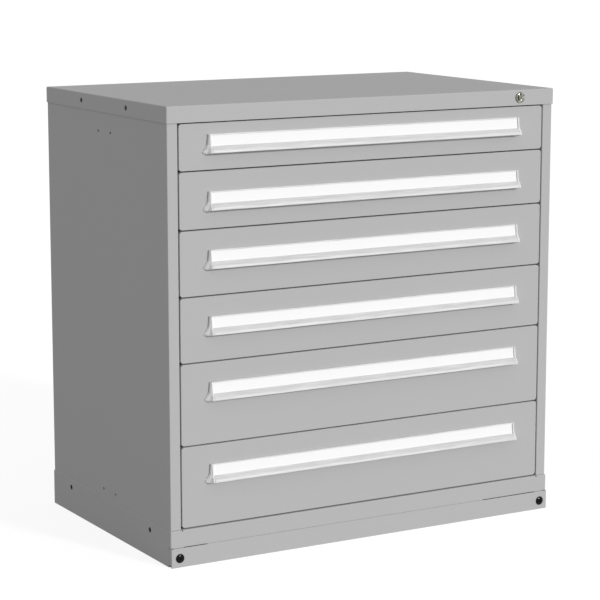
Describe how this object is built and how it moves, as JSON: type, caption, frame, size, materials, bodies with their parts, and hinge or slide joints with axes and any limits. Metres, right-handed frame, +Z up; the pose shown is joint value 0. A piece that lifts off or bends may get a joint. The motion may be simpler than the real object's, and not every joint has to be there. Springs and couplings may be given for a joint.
{
  "type": "modular drawer cabinet",
  "caption": "Wide modular drawer cabinet: folded steel housing on a fork base, roller-slide drawers with full-width label pulls, and a gang lock in the cover.",
  "frame": {"origin": "on the floor, under the middle of the cabinet's overall box, which runs from the lips of the pulls to the back of the cover", "axes": "+Z up, -Y towards the drawer fronts, +X towards the side with the lock"},
  "size_m": [1.143, 0.736, 1.1452],
  "materials": {
    "housing": "light grey powder coat, fine texture",
    "drawer": "light grey powder coat",
    "aluminium": "clear anodised extrusion",
    "pull_end": "moulded grey plastic",
    "label": "white card strip",
    "zinc_steel": "bright zinc plate",
    "wheel": "turned steel, oiled",
    "chrome": "polished chrome",
    "lock_core": "satin nickel",
    "black_screw": "gloss black"
  },
  "bodies": {
    "cabinet": {"side_left": "housing", "side_right": "housing", "back_panel": "housing", "top_cover": "housing", "base": "housing", "kick_plate": "housing", "kick_plate_screws": "black_screw", "cabinet_rails": "zinc_steel", "uprights": "zinc_steel", "lock_barrel": "chrome"},
    "drawer_1": {"drawer_1_tray": "drawer", "drawer_1_front": "housing", "drawer_1_pull": "aluminium", "drawer_1_label": "label", "drawer_1_pull_ends": "pull_end"},
    "drawer_1_carriage": {"drawer_1_carriages": "zinc_steel"},
    "drawer_1_front_axle": {"drawer_1_front_wheels": "wheel"},
    "drawer_1_rear_axle": {"drawer_1_rear_wheels": "wheel"},
    "drawer_2": {"drawer_2_tray": "drawer", "drawer_2_front": "housing", "drawer_2_pull": "aluminium", "drawer_2_label": "label", "drawer_2_pull_ends": "pull_end"},
    "drawer_2_carriage": {"drawer_2_carriages": "zinc_steel"},
    "drawer_2_front_axle": {"drawer_2_front_wheels": "wheel"},
    "drawer_2_rear_axle": {"drawer_2_rear_wheels": "wheel"},
    "drawer_3": {"drawer_3_tray": "drawer", "drawer_3_front": "housing", "drawer_3_pull": "aluminium", "drawer_3_label": "label", "drawer_3_pull_ends": "pull_end"},
    "drawer_3_carriage": {"drawer_3_carriages": "zinc_steel"},
    "drawer_3_front_axle": {"drawer_3_front_wheels": "wheel"},
    "drawer_3_rear_axle": {"drawer_3_rear_wheels": "wheel"},
    "drawer_4": {"drawer_4_tray": "drawer", "drawer_4_front": "housing", "drawer_4_pull": "aluminium", "drawer_4_label": "label", "drawer_4_pull_ends": "pull_end"},
    "drawer_4_carriage": {"drawer_4_carriages": "zinc_steel"},
    "drawer_4_front_axle": {"drawer_4_front_wheels": "wheel"},
    "drawer_4_rear_axle": {"drawer_4_rear_wheels": "wheel"},
    "drawer_5": {"drawer_5_tray": "drawer", "drawer_5_front": "housing", "drawer_5_pull": "aluminium", "drawer_5_label": "label", "drawer_5_pull_ends": "pull_end"},
    "drawer_5_carriage": {"drawer_5_carriages": "zinc_steel"},
    "drawer_5_front_axle": {"drawer_5_front_wheels": "wheel"},
    "drawer_5_rear_axle": {"drawer_5_rear_wheels": "wheel"},
    "drawer_6": {"drawer_6_tray": "drawer", "drawer_6_front": "housing", "drawer_6_pull": "aluminium", "drawer_6_label": "label", "drawer_6_pull_ends": "pull_end"},
    "drawer_6_carriage": {"drawer_6_carriages": "zinc_steel"},
    "drawer_6_front_axle": {"drawer_6_front_wheels": "wheel"},
    "drawer_6_rear_axle": {"drawer_6_rear_wheels": "wheel"},
    "lock_plug": {"lock_plug": "lock_core"},
    "lock_bar": {"lock_bar": "zinc_steel"}
  },
  "joints": [
    {"name": "drawer_1_slide", "type": "slide", "parent": "cabinet", "child": "drawer_1", "axis": [0, -1, 0], "range_m": [0, 0.5651]},
    {"name": "drawer_1_carriage_slide", "type": "slide", "parent": "cabinet", "child": "drawer_1_carriage", "axis": [0, -1, 0], "range_m": [0, 0.28255]},
    {"name": "drawer_1_front_axle_spin", "type": "hinge", "parent": "drawer_1_carriage", "child": "drawer_1_front_axle", "pos_m": [0, -0.02545, 1.0192], "axis": [1, 0, 0], "continuous": true},
    {"name": "drawer_1_rear_axle_spin", "type": "hinge", "parent": "drawer_1_carriage", "child": "drawer_1_rear_axle", "pos_m": [0, 0.04455, 1.0192], "axis": [1, 0, 0], "continuous": true},
    {"name": "drawer_2_slide", "type": "slide", "parent": "cabinet", "child": "drawer_2", "axis": [0, -1, 0], "range_m": [0, 0.5651]},
    {"name": "drawer_2_carriage_slide", "type": "slide", "parent": "cabinet", "child": "drawer_2_carriage", "axis": [0, -1, 0], "range_m": [0, 0.28255]},
    {"name": "drawer_2_front_axle_spin", "type": "hinge", "parent": "drawer_2_carriage", "child": "drawer_2_front_axle", "pos_m": [0, -0.02545, 0.8753], "axis": [1, 0, 0], "continuous": true},
    {"name": "drawer_2_rear_axle_spin", "type": "hinge", "parent": "drawer_2_carriage", "child": "drawer_2_rear_axle", "pos_m": [0, 0.04455, 0.8753], "axis": [1, 0, 0], "continuous": true},
    {"name": "drawer_3_slide", "type": "slide", "parent": "cabinet", "child": "drawer_3", "axis": [0, -1, 0], "range_m": [0, 0.5651]},
    {"name": "drawer_3_carriage_slide", "type": "slide", "parent": "cabinet", "child": "drawer_3_carriage", "axis": [0, -1, 0], "range_m": [0, 0.28255]},
    {"name": "drawer_3_front_axle_spin", "type": "hinge", "parent": "drawer_3_carriage", "child": "drawer_3_front_axle", "pos_m": [0, -0.02545, 0.7104], "axis": [1, 0, 0], "continuous": true},
    {"name": "drawer_3_rear_axle_spin", "type": "hinge", "parent": "drawer_3_carriage", "child": "drawer_3_rear_axle", "pos_m": [0, 0.04455, 0.7104], "axis": [1, 0, 0], "continuous": true},
    {"name": "drawer_4_slide", "type": "slide", "parent": "cabinet", "child": "drawer_4", "axis": [0, -1, 0], "range_m": [0, 0.5651]},
    {"name": "drawer_4_carriage_slide", "type": "slide", "parent": "cabinet", "child": "drawer_4_carriage", "axis": [0, -1, 0], "range_m": [0, 0.28255]},
    {"name": "drawer_4_front_axle_spin", "type": "hinge", "parent": "drawer_4_carriage", "child": "drawer_4_front_axle", "pos_m": [0, -0.02545, 0.5455], "axis": [1, 0, 0], "continuous": true},
    {"name": "drawer_4_rear_axle_spin", "type": "hinge", "parent": "drawer_4_carriage", "child": "drawer_4_rear_axle", "pos_m": [0, 0.04455, 0.5455], "axis": [1, 0, 0], "continuous": true},
    {"name": "drawer_5_slide", "type": "slide", "parent": "cabinet", "child": "drawer_5", "axis": [0, -1, 0], "range_m": [0, 0.5651]},
    {"name": "drawer_5_carriage_slide", "type": "slide", "parent": "cabinet", "child": "drawer_5_carriage", "axis": [0, -1, 0], "range_m": [0, 0.28255]},
    {"name": "drawer_5_front_axle_spin", "type": "hinge", "parent": "drawer_5_carriage", "child": "drawer_5_front_axle", "pos_m": [0, -0.02545, 0.3375], "axis": [1, 0, 0], "continuous": true},
    {"name": "drawer_5_rear_axle_spin", "type": "hinge", "parent": "drawer_5_carriage", "child": "drawer_5_rear_axle", "pos_m": [0, 0.04455, 0.3375], "axis": [1, 0, 0], "continuous": true},
    {"name": "drawer_6_slide", "type": "slide", "parent": "cabinet", "child": "drawer_6", "axis": [0, -1, 0], "range_m": [0, 0.5651]},
    {"name": "drawer_6_carriage_slide", "type": "slide", "parent": "cabinet", "child": "drawer_6_carriage", "axis": [0, -1, 0], "range_m": [0, 0.28255]},
    {"name": "drawer_6_front_axle_spin", "type": "hinge", "parent": "drawer_6_carriage", "child": "drawer_6_front_axle", "pos_m": [0, -0.02545, 0.1295], "axis": [1, 0, 0], "continuous": true},
    {"name": "drawer_6_rear_axle_spin", "type": "hinge", "parent": "drawer_6_carriage", "child": "drawer_6_rear_axle", "pos_m": [0, 0.04455, 0.1295], "axis": [1, 0, 0], "continuous": true},
    {"name": "lock_plug_turn", "type": "hinge", "parent": "cabinet", "child": "lock_plug", "pos_m": [0.463, -0.3495, 1.1247], "axis": [0, 1, 0], "range_deg": [0, 90]},
    {"name": "lock_bar_lift", "type": "slide", "parent": "cabinet", "child": "lock_bar", "axis": [0, 0, 1], "range_m": [0, 0.0113]}
  ],
  "couplings": [
    {"joint": "drawer_1_carriage_slide", "follows": "drawer_1_slide", "ratio": 0.5},
    {"joint": "drawer_1_front_axle_spin", "follows": "drawer_1_slide", "rad_per_m": 45.455},
    {"joint": "drawer_1_rear_axle_spin", "follows": "drawer_1_slide", "rad_per_m": 45.455},
    {"joint": "drawer_2_carriage_slide", "follows": "drawer_2_slide", "ratio": 0.5},
    {"joint": "drawer_2_front_axle_spin", "follows": "drawer_2_slide", "rad_per_m": 45.455},
    {"joint": "drawer_2_rear_axle_spin", "follows": "drawer_2_slide", "rad_per_m": 45.455},
    {"joint": "drawer_3_carriage_slide", "follows": "drawer_3_slide", "ratio": 0.5},
    {"joint": "drawer_3_front_axle_spin", "follows": "drawer_3_slide", "rad_per_m": 45.455},
    {"joint": "drawer_3_rear_axle_spin", "follows": "drawer_3_slide", "rad_per_m": 45.455},
    {"joint": "drawer_4_carriage_slide", "follows": "drawer_4_slide", "ratio": 0.5},
    {"joint": "drawer_4_front_axle_spin", "follows": "drawer_4_slide", "rad_per_m": 45.455},
    {"joint": "drawer_4_rear_axle_spin", "follows": "drawer_4_slide", "rad_per_m": 45.455},
    {"joint": "drawer_5_carriage_slide", "follows": "drawer_5_slide", "ratio": 0.5},
    {"joint": "drawer_5_front_axle_spin", "follows": "drawer_5_slide", "rad_per_m": 45.455},
    {"joint": "drawer_5_rear_axle_spin", "follows": "drawer_5_slide", "rad_per_m": 45.455},
    {"joint": "drawer_6_carriage_slide", "follows": "drawer_6_slide", "ratio": 0.5},
    {"joint": "drawer_6_front_axle_spin", "follows": "drawer_6_slide", "rad_per_m": 45.455},
    {"joint": "drawer_6_rear_axle_spin", "follows": "drawer_6_slide", "rad_per_m": 45.455},
    {"joint": "lock_plug_turn", "follows": "lock_bar_lift", "rad_per_m": 138.84}
  ]
}
